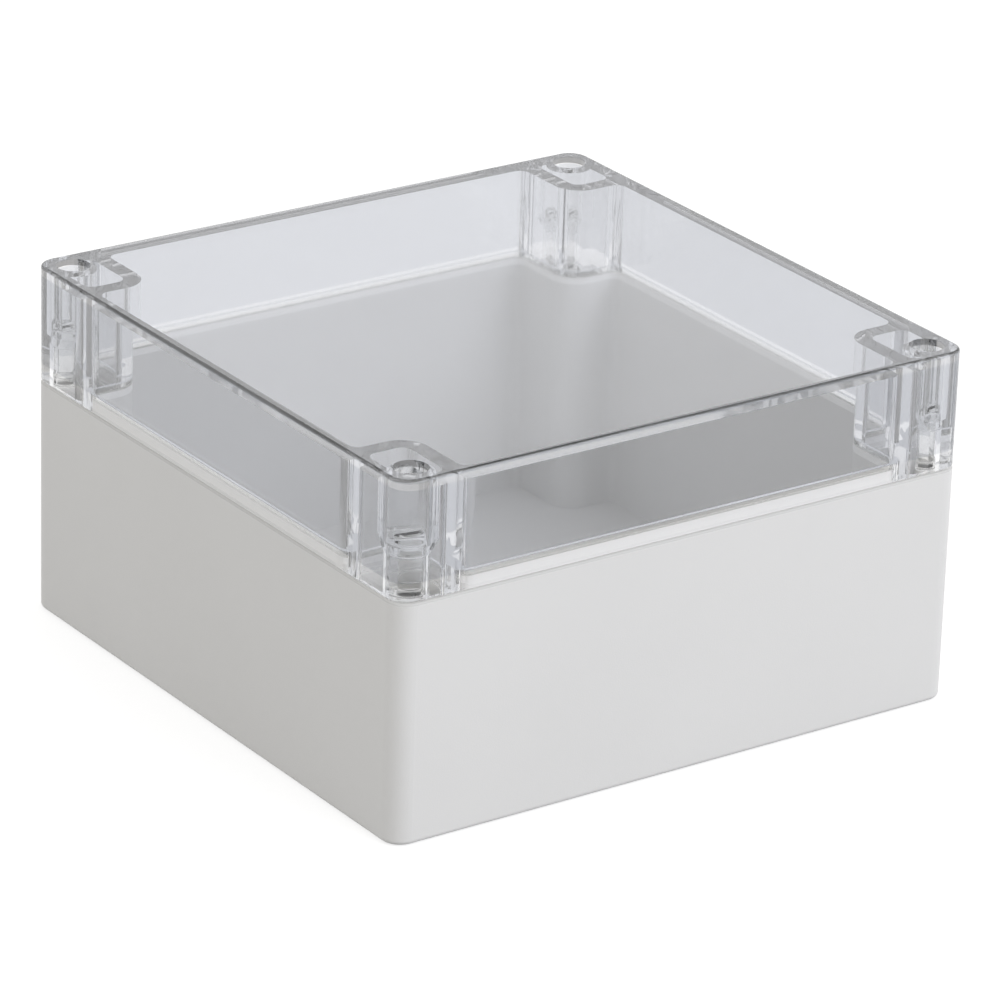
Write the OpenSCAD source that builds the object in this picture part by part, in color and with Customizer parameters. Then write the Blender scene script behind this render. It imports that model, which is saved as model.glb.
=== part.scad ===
// Outdoor enclosure: an opaque moulded base, a deep clear lid, a seal between them
// and four captive lid screws. The screws and the wall-mounting holes stand in corner
// cells, outside the sealed space, so the seal steps round each cell.
// +Z is up, and the origin is at the middle of the underside.

/* [Case] */
// Width of the case, along X
case_w = 160; // [110:1:260]
// Depth of the case, along Y
case_d = 160; // [110:1:260]
// Height of the base, from its underside to the parting line
base_h = 60; // [30:1:120]
// Height from the parting line to the lid's top
lid_h = 30; // [28:1:60]
// Radius of the upright outer corners
corner_r = 5; // [3.5:0.5:7]
// Rounding of the edge round the underside
bottom_edge_r = 1.2; // [0.4:0.1:3]
// Rounding of the edge round the top
top_edge_r = 0.8; // [0.3:0.1:2]
// Rounding of both edges that meet at the parting line
parting_edge_r = 0.6; // [0.2:0.1:0.8]
// Gap left between the base and the lid at the parting line
parting_gap = 0.2; // [0.05:0.05:0.3]

/* [Walls] */
// Thickness of the outer walls of the base and the lid
wall_t = 3.5; // [3.2:0.1:4]
// Thickness of the base's floor
floor_t = 3; // [2:0.1:6]
// Thickness of the lid's top
roof_t = 3.5; // [2:0.1:5]

/* [Corner cells] */
// Size of a corner cell along X, from the outer face to the sealed space
cell_x = 18.6; // [17.8:0.1:22]
// Size of a corner cell along Y, from the outer face to the sealed space
cell_y = 24.4; // [22:0.1:32]
// Thickness of the wall between a cell and the sealed space
cell_wall_t = 4.4; // [3:0.1:5]
// Rounding of a cell's corner, on the sealed side
cell_r = 7; // [4:0.1:9]
// Rounding where a cell's wall meets the outer wall, on the sealed side
inside_r = 2.5; // [1:0.1:5]
// Rounding of the upright corners of a cell's hollow
pocket_r = 2.5; // [1:0.1:3.5]

/* [Seal] */
// Thickness of the tongue that stands on the base's walls
tongue_t = 1.5; // [1.2:0.1:1.8]
// Height of the tongue above the parting line
tongue_h = 3; // [2:0.1:5]
// Gap between the tongue and the lid's skirt
tongue_gap = 0.3; // [0.2:0.05:0.5]
// Height of the pressed seal on top of the tongue
seal_h = 1.6; // [0.8:0.1:2]
// Distance from the tongue's inner face to the seal
seal_inset = 0.1; // [0:0.05:0.3]
// Gap between the seal and the lid
seal_gap = 0.05; // [0.02:0.01:0.1]

/* [Lid screws] */
// Distance from the outer faces to a screw's axis
screw_inset = 7; // [6.6:0.1:7.3]
// Outer diameter of the screw thread
thread_d = 4; // [3:0.5:4]
// Depth to which a screw reaches into its insert
screw_bite = 7.5; // [5:0.5:9]
// Height of a loosened screw's tip above the insert
tip_gap = 0.2; // [0.1:0.1:1]
// Diameter of a screw's head
head_d = 7; // [6:0.1:7.6]
// Height of a screw's head
head_h = 2.8; // [2:0.1:4]
// Bevel round the top of a screw's head
head_bevel = 0.35; // [0.1:0.05:0.8]
// Bevel round a screw's tip
tip_bevel = 0.5; // [0.1:0.1:1]
// Width of the driver slot
slot_w = 1.2; // [0.8:0.1:1.6]
// Depth of the driver slot
slot_depth = 1.4; // [0.6:0.1:1.6]

/* [Screw tubes] */
// Outer diameter of the wide upper part of a tube
tube_d = 11.4; // [10.8:0.1:13.4]
// Diameter of the well that takes a screw's head
head_well_d = 8.4; // [8:0.1:9]
// Thickness of a tube under the head's seat
seat_t = 2.6; // [2:0.1:6]
// Gap between a screw's head and its seat
seat_gap = 0.05; // [0.02:0.01:0.1]
// Height of the cone between the wide and the narrow part of a tube
cone_h = 3.7; // [2:0.1:5]
// Height of the cone's wide end above the head's seat
cone_lift = 1.4; // [0:0.1:1.5]
// Diameter of the narrow part of a tube, and of the base's post below it
post_d = 7.8; // [7.6:0.1:8.6]
// Gap round a screw in its hole through the lid
shank_gap = 0.2; // [0.15:0.05:0.4]

/* [Screw retainers] */
// Outer diameter of the ring that keeps a screw in the lid
retainer_d = 5.6; // [5.2:0.1:5.8]
// Height of the ring
retainer_h = 1.6; // [1:0.1:2]
// Height of the ring above the parting line when the lid is shut
retainer_lift = 0.4; // [0.2:0.1:0.8]
// Gap round the ring, and over it when its screw is out
retainer_gap = 0.2; // [0.15:0.05:0.3]
// Gap between the ring and its screw
running_gap = 0.05; // [0.02:0.01:0.1]

/* [Threaded inserts] */
// Outer diameter of an insert
insert_d = 5.6; // [5.2:0.1:6]
// Length of an insert
insert_l = 8; // [6:0.5:12]
// Depth of the groove between an insert's two bands
insert_groove = 0.3; // [0.1:0.1:0.4]
// Length of the groove
insert_groove_l = 1.6; // [0.8:0.1:4]
// Gap round an insert in its post
insert_gap = 0.03; // [0.02:0.01:0.05]
// Depth of the free hole below an insert
tip_hole_l = 3; // [1:0.5:6]

/* [Wall mounting] */
// Diameter of the four holes for wall screws
mount_hole_d = 4.5; // [3:0.1:5.5]

/* [Hidden] */
$fn = 64;

// Corners as signs along X and Y, with the front at -Y and the left at -X
front_left = [-1, -1];
front_right = [1, -1];
back_left = [-1, 1];
back_right = [1, 1];
corners = [front_left, front_right, back_left, back_right];

// Length by which a cut runs past a face
over = 1;

case_h = base_h + lid_h;
lid_z = base_h + parting_gap;
tongue_top = base_h + tongue_h;
seal_room_top = tongue_top + seal_h + seal_gap;
// A screw is out when its tip stands clear above its insert
screw_travel = screw_bite + tip_gap;
retainer_z = base_h + retainer_lift;
retainer_room_top = retainer_z + retainer_h + screw_travel + retainer_gap;
seat_z = retainer_room_top + seat_t;
cone_top = seat_z + cone_lift;
head_z = seat_z + seat_gap;
screw_l = head_z - base_h + screw_bite;
screw_x = case_w / 2 - screw_inset;
screw_y = case_d / 2 - screw_inset;
pocket_x = case_w / 2 - cell_x + cell_wall_t;
pocket_y = case_d / 2 - cell_y + cell_wall_t;
// The wall-mounting holes stand midway between the cell walls, and midway from post to cell wall
mount_x = (pocket_x + case_w / 2 - wall_t) / 2;
mount_y = (pocket_y + screw_y - post_d / 2) / 2;
shade_grey = [0.84, 0.84, 0.82];
clear_tint = [0.82, 0.87, 0.9, 0.35];
milky_white = [0.9, 0.9, 0.88];
natural_white = [0.92, 0.92, 0.88];
steel_grey = [0.66, 0.66, 0.65];

// What a rounding of radius r takes from a square corner, and a little past its two faces
module corner_scrap(r) {
    difference() {
        square(r + over);
        circle(r);
    }
}

// Rectangle centred on the origin with rounded corners
module round_rect(w, d, r) {
    square([w - 2 * r, d], center = true);
    square([w, d - 2 * r], center = true);
    for (corner = corners)
        translate([corner.x * (w / 2 - r), corner.y * (d / 2 - r)])
            circle(r);
}

// Repeats a shape made for the back right corner at all four corners
module at_corners() {
    for (corner = corners)
        mirror([corner.x < 0 ? 1 : 0, 0, 0])
            mirror([0, corner.y < 0 ? 1 : 0, 0])
                children();
}

// What rounding the edge round the top of the case takes away, with the top at height 0
module edge_cut(r) {
    for (turn = [0, 180]) {
        rotate([90, 0, 90 + turn])
            linear_extrude(case_w + 2 * over, center = true)
                translate([case_d / 2 - r, -r])
                    corner_scrap(r);
        rotate([90, 0, turn])
            linear_extrude(case_d + 2 * over, center = true)
                translate([case_w / 2 - r, -r])
                    corner_scrap(r);
    }
    at_corners()
        translate([case_w / 2 - corner_r, case_d / 2 - corner_r, 0])
            rotate_extrude(angle = 90)
                translate([corner_r - r, -r])
                    corner_scrap(r);
}

// Block as wide and deep as the case, with round upright corners and rounded edges below and above
module case_block(h, low_r, high_r) {
    difference() {
        linear_extrude(h)
            round_rect(case_w, case_d, corner_r);
        mirror([0, 0, 1])
            edge_cut(low_r);
        translate([0, 0, h])
            edge_cut(high_r);
    }
}

// Plan of the sealed space, grown outwards into the walls by some distance: two crossed
// rectangles, with the corner of each cell between them rounded off
module inside_plan(grow) {
    bend_r = cell_r - grow;
    round_rect(case_w - 2 * (wall_t - grow), case_d - 2 * (cell_y - grow), inside_r + grow);
    round_rect(case_w - 2 * (cell_x - grow), case_d - 2 * (wall_t - grow), inside_r + grow);
    at_corners()
        translate([case_w / 2 - cell_x + grow + bend_r, case_d / 2 - cell_y + grow + bend_r])
            rotate(180)
                corner_scrap(bend_r);
}

// Plan of the hollow in the back right corner cell
module pocket_plan() {
    pocket_w = case_w / 2 - wall_t - pocket_x;
    pocket_d = case_d / 2 - wall_t - pocket_y;
    translate([pocket_x + pocket_w / 2, pocket_y + pocket_d / 2])
        round_rect(pocket_w, pocket_d, pocket_r);
}

// Plan of the post in the back right corner cell, backed by the case's corner
module post_plan() {
    translate([screw_x, screw_y]) {
        circle(d = post_d);
        square(screw_inset);
    }
}

// Hollow of the base's back right corner cell, with the post left standing
module base_pocket() {
    translate([0, 0, floor_t])
        linear_extrude(base_h - floor_t + over)
            difference() {
                pocket_plan();
                post_plan();
            }
}

// Blind hole in the base's post: a seat for the insert, with a free hole for the screw's tip below it
module insert_hole() {
    translate([screw_x, screw_y, base_h - insert_l])
        cylinder(d = insert_d + 2 * insert_gap, h = insert_l + over);
    translate([screw_x, screw_y, base_h - insert_l - tip_hole_l])
        cylinder(d = thread_d + 2 * running_gap, h = tip_hole_l + over);
}

// Hole through the floor of a corner cell for a wall screw
module mount_hole() {
    translate([mount_x, mount_y, -over])
        cylinder(d = mount_hole_d, h = floor_t + 2 * over);
}

// Open box with a tongue round the sealed space and four corner cells outside it
module base() {
    color(shade_grey)
        difference() {
            union() {
                case_block(base_h, bottom_edge_r, parting_edge_r);
                translate([0, 0, floor_t])
                    linear_extrude(tongue_top - floor_t)
                        inside_plan(tongue_t);
            }
            translate([0, 0, floor_t])
                linear_extrude(tongue_h + base_h)
                    inside_plan(0);
            at_corners() {
                base_pocket();
                insert_hole();
                mount_hole();
            }
        }
}

// Outside of one stepped screw tube: wide round the head's well, a cone below its seat, then narrow
module tube_outside() {
    translate([screw_x, screw_y, cone_top])
        cylinder(d = tube_d, h = case_h - cone_top);
    translate([screw_x, screw_y, cone_top - cone_h])
        cylinder(d1 = post_d, d2 = tube_d, h = cone_h);
    linear_extrude(case_h)
        post_plan();
}

// Hollow of the lid's back right corner cell, with the screw tube left standing
module lid_pocket() {
    difference() {
        translate([0, 0, base_h - over])
            linear_extrude(lid_h - roof_t + over)
                pocket_plan();
        tube_outside();
    }
}

// Bores of one screw tube: the head's well, the hole for the shank and the room for the retainer
module tube_bores() {
    translate([screw_x, screw_y, seat_z])
        cylinder(d = head_well_d, h = case_h - seat_z + over);
    translate([screw_x, screw_y, base_h - over])
        cylinder(d = thread_d + 2 * shank_gap, h = seat_z - base_h + 2 * over);
    translate([screw_x, screw_y, base_h - over])
        cylinder(d = retainer_d + 2 * retainer_gap, h = retainer_room_top - base_h + over);
}

// Clear hood with a skirt round the tongue, corner cells over the base's and a tube for each screw
module lid() {
    color(clear_tint)
        difference() {
            translate([0, 0, lid_z])
                case_block(case_h - lid_z, parting_edge_r, top_edge_r);
            translate([0, 0, base_h - over])
                linear_extrude(lid_h - roof_t + over)
                    inside_plan(0);
            translate([0, 0, base_h - over])
                linear_extrude(seal_room_top - base_h + over)
                    inside_plan(tongue_t + tongue_gap);
            at_corners() {
                lid_pocket();
                tube_bores();
            }
        }
}

// Flat seal that lies on the tongue all round the sealed space
module gasket() {
    color(milky_white)
        translate([0, 0, tongue_top])
            linear_extrude(seal_h)
                difference() {
                    inside_plan(tongue_t);
                    inside_plan(seal_inset);
                }
}

// Puts a round piece on the axis of one corner's screw
module on_screw_axis(corner, z) {
    translate([corner.x * screw_x, corner.y * screw_y, z])
        children();
}

// Slotted cheese-head screw with a bevelled tip
module lid_screw(corner) {
    color(natural_white)
        on_screw_axis(corner, head_z)
            difference() {
                rotate_extrude()
                    polygon([
                        [0, -screw_l],
                        [thread_d / 2 - tip_bevel, -screw_l],
                        [thread_d / 2, tip_bevel - screw_l],
                        [thread_d / 2, 0],
                        [head_d / 2, 0],
                        [head_d / 2, head_h - head_bevel],
                        [head_d / 2 - head_bevel, head_h],
                        [0, head_h]
                    ]);
                translate([0, 0, head_h - slot_depth / 2 + over / 2])
                    cube([head_d + over, slot_w, slot_depth + over], center = true);
            }
}

// Elastic ring on a screw's shank that keeps the screw in the lid
module screw_retainer(corner) {
    color(natural_white)
        on_screw_axis(corner, retainer_z)
            difference() {
                cylinder(d = retainer_d, h = retainer_h);
                translate([0, 0, -over])
                    cylinder(d = thread_d + 2 * running_gap, h = retainer_h + 2 * over);
            }
}

// Steel insert in a post, two bands with a groove between them
module threaded_insert(corner) {
    band = (insert_l - insert_groove_l) / 2;
    color(steel_grey)
        on_screw_axis(corner, base_h - insert_l)
            rotate_extrude()
                polygon([
                    [thread_d / 2 + running_gap, 0],
                    [insert_d / 2, 0],
                    [insert_d / 2, band],
                    [insert_d / 2 - insert_groove, band],
                    [insert_d / 2 - insert_groove, insert_l - band],
                    [insert_d / 2, insert_l - band],
                    [insert_d / 2, insert_l],
                    [thread_d / 2 + running_gap, insert_l]
                ]);
}

base();
lid();
gasket();
lid_screw(front_left);  // lid_screw_front_left
lid_screw(front_right);  // lid_screw_front_right
lid_screw(back_left);  // lid_screw_back_left
lid_screw(back_right);  // lid_screw_back_right
screw_retainer(front_left);  // screw_retainer_front_left
screw_retainer(front_right);  // screw_retainer_front_right
screw_retainer(back_left);  // screw_retainer_back_left
screw_retainer(back_right);  // screw_retainer_back_right
threaded_insert(front_left);  // threaded_insert_front_left
threaded_insert(front_right);  // threaded_insert_front_right
threaded_insert(back_left);  // threaded_insert_back_left
threaded_insert(back_right);  // threaded_insert_back_right
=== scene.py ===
import math

import bpy
from mathutils import Matrix, Vector


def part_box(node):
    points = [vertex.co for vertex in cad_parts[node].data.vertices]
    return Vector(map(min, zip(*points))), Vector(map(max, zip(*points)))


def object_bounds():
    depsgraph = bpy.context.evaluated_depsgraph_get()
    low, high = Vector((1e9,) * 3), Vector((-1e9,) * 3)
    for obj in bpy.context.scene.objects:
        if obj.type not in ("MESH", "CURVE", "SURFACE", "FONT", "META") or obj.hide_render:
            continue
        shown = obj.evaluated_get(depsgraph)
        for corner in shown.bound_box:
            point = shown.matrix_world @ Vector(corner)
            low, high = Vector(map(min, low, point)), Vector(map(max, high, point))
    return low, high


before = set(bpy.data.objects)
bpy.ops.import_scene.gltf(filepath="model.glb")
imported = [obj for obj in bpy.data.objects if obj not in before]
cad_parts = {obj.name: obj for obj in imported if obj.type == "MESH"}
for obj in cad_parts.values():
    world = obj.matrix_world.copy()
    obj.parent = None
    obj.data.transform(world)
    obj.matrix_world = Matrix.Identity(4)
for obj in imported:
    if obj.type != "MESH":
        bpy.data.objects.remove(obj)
cad_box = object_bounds()

# Light passes many clear faces on its way through the lid's cells and tubes
LIGHT_BOUNCES = 48

scene = bpy.context.scene
scene.view_settings.view_transform = "Standard"
scene.cycles.max_bounces = LIGHT_BOUNCES
scene.cycles.glossy_bounces = LIGHT_BOUNCES
scene.cycles.transmission_bounces = LIGHT_BOUNCES
scene.cycles.transparent_max_bounces = LIGHT_BOUNCES


# Camera, with its target and distance as shares of the case's width
CASE_HALF = cad_box[1].x
CASE_WIDTH = 2 * CASE_HALF
CAMERA_AZIMUTH = math.radians(-35.3366)
CAMERA_ELEVATION = math.radians(22.996)
CAMERA_ROLL = math.radians(1.8506)
CAMERA_TARGET = Vector((-0.0079, -0.0397, 0.2632)) * CASE_WIDTH
CAMERA_DISTANCE = 8.8721 * CASE_WIDTH
SENSOR_MM = 36.0
LENS_MM = 5.91451 * SENSOR_MM
UP = Vector((0, 0, 1))


def aim(back, roll=0.0):
    """Rotation of a camera or lamp whose own +Z points along back."""
    right = (-back).cross(UP).normalized()
    up = right.cross(-back)
    turned_right = math.cos(roll) * right + math.sin(roll) * up
    turned_up = math.cos(roll) * up - math.sin(roll) * right
    return Matrix((turned_right, turned_up, back)).transposed()


def towards(azimuth, elevation):
    """Direction from the object to a viewer, with azimuth 0 in front, at -Y."""
    flat = math.cos(elevation)
    return Vector((math.sin(azimuth) * flat, -math.cos(azimuth) * flat, math.sin(elevation)))


def make_camera():
    lens = bpy.data.cameras.new("camera")
    lens.sensor_width = SENSOR_MM
    lens.lens = LENS_MM
    camera = bpy.data.objects.new("camera", lens)
    scene.collection.objects.link(camera)
    back = towards(CAMERA_AZIMUTH, CAMERA_ELEVATION)
    place = Matrix.Translation(CAMERA_TARGET + back * CAMERA_DISTANCE)
    camera.matrix_world = place @ aim(back, CAMERA_ROLL).to_4x4()
    scene.camera = camera


# Node helpers
# Places of the factor and the two colours among a Mix node's inputs, and of its colour output
MIX_INPUTS = (0, 6, 7)
MIX_COLOUR = 2
# Range that most of a noise's values lie in
NOISE_LOW = 0.3
NOISE_HIGH = 0.7


def put(tree, made, name, value):
    """Sets one input of a node to a number, a colour or another node's output."""
    socket = made.inputs[name]
    if isinstance(value, bpy.types.NodeSocket):
        tree.links.new(value, socket)
    else:
        socket.default_value = value


def node(tree, kind, settings=None, **values):
    """Adds a shader node. Values name its inputs, with _ for a space, and may be links."""
    made = tree.nodes.new("ShaderNode" + kind)
    for name, value in (settings or {}).items():
        setattr(made, name, value)
    for name, value in values.items():
        put(tree, made, name.replace("_", " "), value)
    return made


def joined(tree, kind, settings, values):
    """Adds a node whose inputs are given in order, and returns its outputs."""
    made = node(tree, kind, settings)
    for place, value in enumerate(values):
        put(tree, made, place, value)
    return made.outputs


def maths(tree, operation, *values):
    return joined(tree, "Math", {"operation": operation}, values)[0]


def vector_maths(tree, operation, *values):
    return joined(tree, "VectorMath", {"operation": operation}, values)[0]


def length(tree, vector):
    return joined(tree, "VectorMath", {"operation": "LENGTH"}, [vector])["Value"]


def above(tree, value, limit):
    """A mask: 1 where the value is over the limit."""
    return maths(tree, "GREATER_THAN", value, limit)


def below(tree, value, limit):
    """A mask: 1 where the value is under the limit."""
    return maths(tree, "LESS_THAN", value, limit)


def both(tree, first, second):
    """Where two masks meet."""
    return maths(tree, "MULTIPLY", first, second)


def either(tree, first, second):
    """Where at least one of two masks is."""
    return maths(tree, "MAXIMUM", first, second)


def blend(tree, factor, first, second):
    """A colour between two colours, each given as numbers or as a link."""
    mix = node(tree, "Mix", {"data_type": "RGBA"})
    for place, value in zip(MIX_INPUTS, (factor, first, second)):
        put(tree, mix, place, value)
    return mix.outputs[MIX_COLOUR]


def blend_shaders(tree, factor, first, second):
    return joined(tree, "MixShader", None, (factor, first.outputs[0], second.outputs[0]))[0]


def rgb(red, green, blue):
    return (red, green, blue, 1.0)


def grey(level):
    return rgb(level, level, level)


def own_place(tree):
    """Place on a piece, in the part's own metres."""
    return node(tree, "TexCoord").outputs["Object"]


def grain(tree, scale, detail, low=0.0, high=1.0):
    """A noise from low to high, with about scale waves to the metre."""
    noise = node(tree, "TexNoise", Vector=own_place(tree), Scale=scale, Detail=detail)
    spread = node(tree, "MapRange", Value=noise.outputs[0], From_Min=NOISE_LOW, From_Max=NOISE_HIGH,
                  To_Min=low, To_Max=high)
    return spread.outputs["Result"]


def fresh(name):
    """An emptied material with its output."""
    material = bpy.data.materials.new(name)
    material.use_nodes = True
    material.node_tree.nodes.clear()
    out = material.node_tree.nodes.new("ShaderNodeOutputMaterial")
    return material, material.node_tree, out


# Zones of the base and the lid, in metres
screw_low, screw_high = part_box("lid_screw_back_right")
SCREW_AXIS = (screw_low + screw_high) / 2
LID_TOP = cad_box[1].z
# Radius of the case's upright corners
CORNER_R = 0.005
# Thickness of the layers that count as the lid's outer sides and as its top
SIDE_SKIN = 0.0004
TOP_SKIN = 0.0001
# Heights at which the rim's rounding, the tongue and the tongue's paler tip start: painted shade on the rim,
# painted light on the tongue and its tip
RIM_LOW = 0.0595
RIM_HIGH = 0.0601
TIP_LOW = 0.0613
# Height of the top of the seal's room in the lid
SEAL_TOP = 0.06497
# Distances from the case's outer faces to the tongue's outer face and to its middle
TONGUE_INSET = 0.0021
TONGUE_MIDDLE = 0.0028
# Least distances from the middle of the lid to a corner cell
CELL_X = 0.0613
CELL_Y = 0.0555
# Depths below the lid's top of its rounded edge, of the painted highlight line under that, and of a well's rim
# in painted shade
TOP_EDGE = 0.0009
HIGHLIGHT_LINE_DEPTH = 0.0025
WELL_RIM = 0.0016
# Radii that hold a screw's well and a screw's tube
WELL_R = 0.0044
TUBE_R = 0.0059
# Shares of a face's normal that point up on upright, steep and level faces
UPRIGHT = 0.15
STEEP = 0.7
LEVEL = 0.97
# The same share where the painted shade on the rounded edge starts in front and behind,
# and how much lower it starts on the left and right
EDGE_SHADE_START = 0.55
FLANK_LEAD = 0.4
# What a place is multiplied by to drop its height, and the zero vector
IN_PLAN = (1, 1, 0)
ZERO = (0, 0, 0)


def height_of(tree):
    return node(tree, "SeparateXYZ", Vector=own_place(tree)).outputs["Z"]


def plan_place(tree):
    """Place in plan, in metres from the middle of the part, without signs."""
    return vector_maths(tree, "MULTIPLY", vector_maths(tree, "ABSOLUTE", own_place(tree)), IN_PLAN)


def past_straight(tree):
    """How far the plan lies past the straight part of the walls: CORNER_R on the outer faces."""
    straight = CASE_HALF - CORNER_R
    beyond = vector_maths(tree, "SUBTRACT", plan_place(tree), (straight, straight, 0))
    return length(tree, vector_maths(tree, "MAXIMUM", beyond, ZERO))


def facing(tree, axis):
    """How far a face points along an axis, either way, from 0 to 1."""
    normal = node(tree, "TexCoord").outputs["Normal"]
    return maths(tree, "ABSOLUTE", node(tree, "SeparateXYZ", Vector=normal).outputs[axis])


def upward(tree):
    return facing(tree, "Z")


def sideways(tree):
    return facing(tree, "X")


def from_screw(tree):
    """Distance from the axis of the nearest screw."""
    axis = (SCREW_AXIS.x, SCREW_AXIS.y, 0)
    return length(tree, vector_maths(tree, "SUBTRACT", plan_place(tree), axis))


def outer_sides(tree):
    """The lid's outer faces, above the seal."""
    skin = above(tree, past_straight(tree), CORNER_R - SIDE_SKIN)
    return both(tree, skin, above(tree, height_of(tree), SEAL_TOP))


def corner_cells(tree):
    """The lid's four corners, with the cells and the screw tubes."""
    sides = node(tree, "SeparateXYZ", Vector=plan_place(tree)).outputs
    return both(tree, above(tree, sides["X"], CELL_X), above(tree, sides["Y"], CELL_Y))


def shaded_top_rounding(tree):
    """The part of the rounded edge round the lid's top that carries painted shade."""
    slope = upward(tree)
    led = maths(tree, "MULTIPLY_ADD", sideways(tree), FLANK_LEAD, slope)
    slanted = both(tree, above(tree, led, EDGE_SHADE_START), below(tree, slope, LEVEL))
    return both(tree, slanted, above(tree, height_of(tree), LID_TOP - TOP_EDGE))


def painted_highlight_line(tree):
    """A painted highlight line on the lid, just under its rounded edge."""
    height = height_of(tree)
    return both(tree, above(tree, height, LID_TOP - HIGHLIGHT_LINE_DEPTH), below(tree, height, LID_TOP - TOP_EDGE))


def shaded_well_rims(tree):
    """The upper ends of the screw wells, which carry painted shade."""
    upright = below(tree, upward(tree), UPRIGHT)
    shaded_rim = both(tree, upright, above(tree, height_of(tree), LID_TOP - WELL_RIM))
    return both(tree, below(tree, from_screw(tree), WELL_R), shaded_rim)


# Tints
# Waves to the metre, and detail, of the slow change between a piece's two tones
TONE_SCALE = 20.0
TONE_DETAIL = 3.0
WHITE = grey(1.0)
# The base: its walls, its rim in painted shade from the joint, and the tip and the outer side of its tongue in
# painted light
WALL_TONES = (rgb(0.755, 0.755, 0.75), rgb(0.775, 0.775, 0.77))
RIM_SHADE_TINT = rgb(0.59, 0.59, 0.585)
TIP_LIGHT_TINT = rgb(0.95, 0.95, 0.945)
TONGUE_LIGHT_TINT = rgb(0.83, 0.83, 0.825)
# The lid's smoky outer faces: front and back, left and right, and top. Beside the smoky tint, painted shade
# darkens the sides, most on the left and right, and painted light makes the top lighter
FRONT_SMOKE_AND_SHADE = (rgb(0.585, 0.602, 0.642), rgb(0.605, 0.622, 0.662))
FLANK_SMOKE_AND_SHADE = (rgb(0.468, 0.482, 0.514), rgb(0.488, 0.502, 0.534))
TOP_SMOKE_AND_LIGHT = (rgb(0.69, 0.708, 0.757), rgb(0.71, 0.728, 0.777))
# The lid's inner faces, outside and inside its cells, with painted shade inside the cells
INNER_TINT = rgb(0.98, 0.98, 0.985)
CELL_SHADE_TINT = rgb(0.945, 0.945, 0.95)
# The lid's painted highlight line, and the painted shade on its dark edge, well rims, and level faces in the
# joint with the base
HIGHLIGHT_LINE_TINT = grey(0.85)
EDGE_SHADE_TINT = grey(0.17)
WELL_SHADE_TINT = grey(0.17)
JOINT_SHADE_TINT = grey(0.28)
# What the lid leaves of light that passes it, beside the tongue and above it
TONGUE_SHADE = grey(0.985)
HOOD_SHADE = rgb(0.888, 0.89, 0.895)
# The seal, the screws, their retainers and the steel inserts
SEAL_TONES = (rgb(0.93, 0.93, 0.92), rgb(0.95, 0.95, 0.94))
SCREW_TONES = (rgb(0.95, 0.95, 0.945), rgb(0.96, 0.96, 0.955))
RETAINER_TONES = (rgb(0.92, 0.92, 0.91), rgb(0.94, 0.94, 0.93))
STEEL_TONES = (rgb(0.62, 0.62, 0.61), rgb(0.72, 0.72, 0.71))


def even_tint(tones):
    """Makes the tint of a piece in two close tones."""
    return lambda tree: blend(tree, grain(tree, TONE_SCALE, TONE_DETAIL), *tones)


def base_tint(tree):
    """Colour of the base: painted shade darkens its rim in the joint, and painted light makes the thin tongue
    paler.
    """
    reach = past_straight(tree)
    height = height_of(tree)
    shaded_rim = both(tree, above(tree, reach, CORNER_R - TONGUE_INSET), above(tree, height, RIM_LOW))
    outer_half = above(tree, reach, CORNER_R - TONGUE_MIDDLE)
    lit_tongue = both(tree, outer_half, above(tree, height, RIM_HIGH))
    # Painted light: the tongue's tip and its outer side are paler than the walls
    lit_tip = above(tree, height, TIP_LOW)
    with_rim_shade = blend(tree, shaded_rim, even_tint(WALL_TONES)(tree), RIM_SHADE_TINT)
    with_lit_tip = blend(tree, lit_tip, with_rim_shade, TIP_LIGHT_TINT)
    return blend(tree, lit_tongue, with_lit_tip, TONGUE_LIGHT_TINT)


def lid_tint(tree):
    """Tint of the lid: smoky with painted light and shade outside, a painted highlight line, and painted shade
    on the edge of its top, its well rims, its joint faces and its cells.
    """
    height = height_of(tree)
    top = above(tree, height, LID_TOP - TOP_SKIN)
    # Painted shade on the level faces in the joint with the base
    shaded_joint = both(tree, above(tree, upward(tree), STEEP), below(tree, height, SEAL_TOP))
    smoke_and_shade = blend(tree, sideways(tree), even_tint(FRONT_SMOKE_AND_SHADE)(tree), even_tint(FLANK_SMOKE_AND_SHADE)(tree))
    highlighted = blend(tree, painted_highlight_line(tree), smoke_and_shade, HIGHLIGHT_LINE_TINT)
    inner_with_cell_shade = blend(tree, corner_cells(tree), INNER_TINT, CELL_SHADE_TINT)
    with_tubes = blend(tree, below(tree, from_screw(tree), TUBE_R), inner_with_cell_shade, WHITE)
    sided = blend(tree, outer_sides(tree), with_tubes, highlighted)
    topped = blend(tree, top, sided, even_tint(TOP_SMOKE_AND_LIGHT)(tree))
    edge_shaded = blend(tree, shaded_top_rounding(tree), topped, EDGE_SHADE_TINT)
    wells_shaded = blend(tree, shaded_well_rims(tree), edge_shaded, WELL_SHADE_TINT)
    return blend(tree, shaded_joint, wells_shaded, JOINT_SHADE_TINT)


def lid_shade(tree):
    """What the lid leaves of light that passes it: nearly all of it beside the tongue."""
    return blend(tree, above(tree, height_of(tree), SEAL_TOP), TONGUE_SHADE, HOOD_SHADE)


# Materials
# The base's fine grain: waves to the metre, detail, depth in metres and strength
GRAIN_SCALE = 2600.0
GRAIN_DETAIL = 3.0
GRAIN_DEPTH = 0.00002
GRAIN_STRENGTH = 0.5
# The base's sheen, which changes in longer waves than the grain
SHEEN_SCALE = GRAIN_SCALE / 3
SHEEN_DETAIL = 2.0
SHEEN_ROUGHNESS = 0.45
SHEEN_SPREAD = 0.05
BASE_IOR = 1.5
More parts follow.
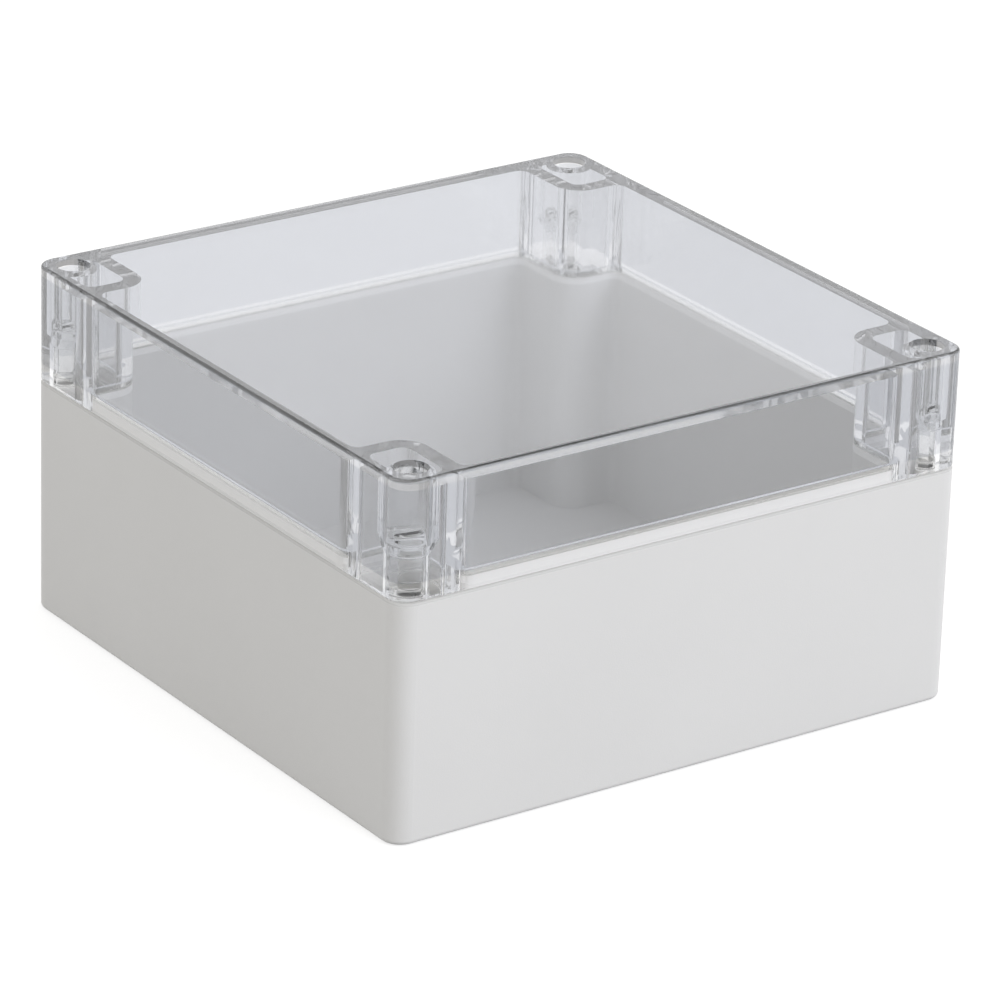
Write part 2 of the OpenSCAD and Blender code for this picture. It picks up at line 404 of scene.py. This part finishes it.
# The clear pieces. Low indices let the seal, the screws and the retainers show as faintly as in the photo,
# and a body colour is what ABSORPTION leaves of the light inside
LID_ROUGHNESS = 0.03
LID_IOR = 1.58
LID_BODY = rgb(0.93, 0.932, 0.935)
SEAL_ROUGHNESS = 0.12
SEAL_IOR = 1.25
SEAL_BODY = rgb(0.85, 0.85, 0.83)
SCREW_ROUGHNESS = 0.05
SCREW_IOR = 1.2
SCREW_BODY = rgb(0.85, 0.85, 0.82)
RETAINER_ROUGHNESS = 0.12
RETAINER_IOR = 1.38
RETAINER_BODY = rgb(0.85, 0.85, 0.82)
ABSORPTION = 30.0
# The inserts' turned steel: waves to the metre, detail and range of the roughness
STEEL_SCALE = 900.0
STEEL_DETAIL = 2.0
STEEL_SMOOTH = 0.25
STEEL_ROUGH = 0.4


def moulded(name, tint):
    """Opaque moulded plastic with an uneven sheen and a fine grain."""
    material, tree, out = fresh(name)
    sheen = grain(tree, SHEEN_SCALE, SHEEN_DETAIL,
                  SHEEN_ROUGHNESS - SHEEN_SPREAD, SHEEN_ROUGHNESS + SHEEN_SPREAD)
    bump = node(tree, "Bump",
                Height=grain(tree, GRAIN_SCALE, GRAIN_DETAIL),
                Distance=GRAIN_DEPTH,
                Strength=GRAIN_STRENGTH)
    shader = node(tree, "BsdfPrincipled",
                  Base_Color=tint(tree),
                  Roughness=sheen,
                  Normal=bump.outputs["Normal"],
                  IOR=BASE_IOR)
    put(tree, out, "Surface", shader.outputs[0])
    return material


def clear(name, tint, shade, roughness, ior, body):
    """Clear plastic with a body colour. Lamps and scattered light pass it straight, dimmed to shade."""
    material, tree, out = fresh(name)
    glass = node(tree, "BsdfPrincipled",
                 Base_Color=tint(tree),
                 Roughness=roughness,
                 Transmission_Weight=1.0,
                 IOR=ior)
    straight = node(tree, "BsdfTransparent", Color=shade(tree))
    path = node(tree, "LightPath").outputs
    lit = either(tree, path["Is Shadow Ray"], path["Is Diffuse Ray"])
    put(tree, out, "Surface", blend_shaders(tree, lit, glass, straight))
    volume = node(tree, "VolumeAbsorption", Color=body, Density=ABSORPTION)
    put(tree, out, "Volume", volume.outputs[0])
    return material


def turned_metal(name, tint):
    material, tree, out = fresh(name)
    shader = node(tree, "BsdfPrincipled",
                  Base_Color=tint(tree),
                  Metallic=1.0,
                  Roughness=grain(tree, STEEL_SCALE, STEEL_DETAIL, STEEL_SMOOTH, STEEL_ROUGH))
    put(tree, out, "Surface", shader.outputs[0])
    return material


milky = even_tint(SEAL_TONES)
natural = even_tint(SCREW_TONES)
pale = even_tint(RETAINER_TONES)
FINISHES = {
    "base": moulded("base_plastic", base_tint),
    "lid": clear("clear_plastic", lid_tint, lid_shade, LID_ROUGHNESS, LID_IOR, LID_BODY),
    "gasket": clear("seal", milky, milky, SEAL_ROUGHNESS, SEAL_IOR, SEAL_BODY),
    "lid_screw": clear("screw_plastic", natural, natural, SCREW_ROUGHNESS, SCREW_IOR, SCREW_BODY),
    "screw_retainer": clear("retainer", pale, pale, RETAINER_ROUGHNESS, RETAINER_IOR, RETAINER_BODY),
    "threaded_insert": turned_metal("insert_steel", even_tint(STEEL_TONES)),
}


def dress(nodes):
    """Gives each node the finish of the longest name that its own name starts with."""
    for name, piece in nodes.items():
        kind = max((known for known in FINISHES if name.startswith(known)), key=len)
        for slot in piece.material_slots:
            slot.material = FINISHES[kind]


# Stage and light
FLOOR_HALF = 6.0
FLOOR_DROP = 0.0002
FLOOR_GREY = grey(0.35)
# Glow that lifts the floor to white where it is seen, without lighting the object
FLOOR_LIFT = 0.75
BACKDROP_STRENGTH = 1.0
AMBIENT_STRENGTH = 0.72
WARM = (1.0, 0.985, 0.96)
COOL = (0.925, 0.942, 1.0)
LAMP_DISTANCE = 1.6
LAMP_SIZE = 1.2


def seen(tree):
    """A mask: 1 for the rays that show the background, straight, mirrored or through clear pieces."""
    path = node(tree, "LightPath").outputs
    indirect = either(tree, path["Is Glossy Ray"], path["Is Transmission Ray"])
    return either(tree, path["Is Camera Ray"], indirect)


def make_floor():
    mesh = bpy.data.meshes.new("floor")
    signs = ((-1, -1), (1, -1), (1, 1), (-1, 1))
    corners = [(x * FLOOR_HALF, y * FLOOR_HALF, -FLOOR_DROP) for x, y in signs]
    mesh.from_pydata(corners, [], [(0, 1, 2, 3)])
    floor = bpy.data.objects.new("floor", mesh)
    scene.collection.objects.link(floor)
    material, tree, out = fresh("floor")
    paper = node(tree, "BsdfDiffuse", Color=FLOOR_GREY)
    lift = maths(tree, "MULTIPLY", seen(tree), FLOOR_LIFT)
    glow = node(tree, "Emission", Color=WHITE, Strength=lift)
    put(tree, out, "Surface", joined(tree, "AddShader", None, (paper.outputs[0], glow.outputs[0]))[0])
    mesh.materials.append(material)


def make_world():
    world = bpy.data.worlds.new("studio")
    scene.world = world
    world.use_nodes = True
    tree = world.node_tree
    tree.nodes.clear()
    out = tree.nodes.new("ShaderNodeOutputWorld")
    room = node(tree, "Background", Color=rgb(*WARM), Strength=AMBIENT_STRENGTH)
    backdrop = node(tree, "Background", Color=WHITE, Strength=BACKDROP_STRENGTH)
    put(tree, out, "Surface", blend_shaders(tree, seen(tree), room, backdrop))


def soft_box(name, azimuth, elevation, watts, colour):
    """A square lamp aimed at the object, with angles in degrees. It isn't mirrored or seen through the lid."""
    lamp = bpy.data.lights.new(name, "AREA")
    lamp.shape = "SQUARE"
    lamp.size = LAMP_SIZE
    lamp.energy = watts
    lamp.color = colour
    box = bpy.data.objects.new(name, lamp)
    scene.collection.objects.link(box)
    box.visible_glossy = False
    box.visible_transmission = False
    way = towards(math.radians(azimuth), math.radians(elevation))
    box.matrix_world = Matrix.Translation(way * LAMP_DISTANCE) @ aim(way).to_4x4()


make_camera()
dress(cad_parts)
make_floor()
make_world()
soft_box("key", azimuth=25, elevation=35, watts=13.9, colour=COOL)
soft_box("fill", azimuth=-85, elevation=25, watts=2.8, colour=WARM)
soft_box("back", azimuth=170, elevation=30, watts=3.0, colour=WARM)
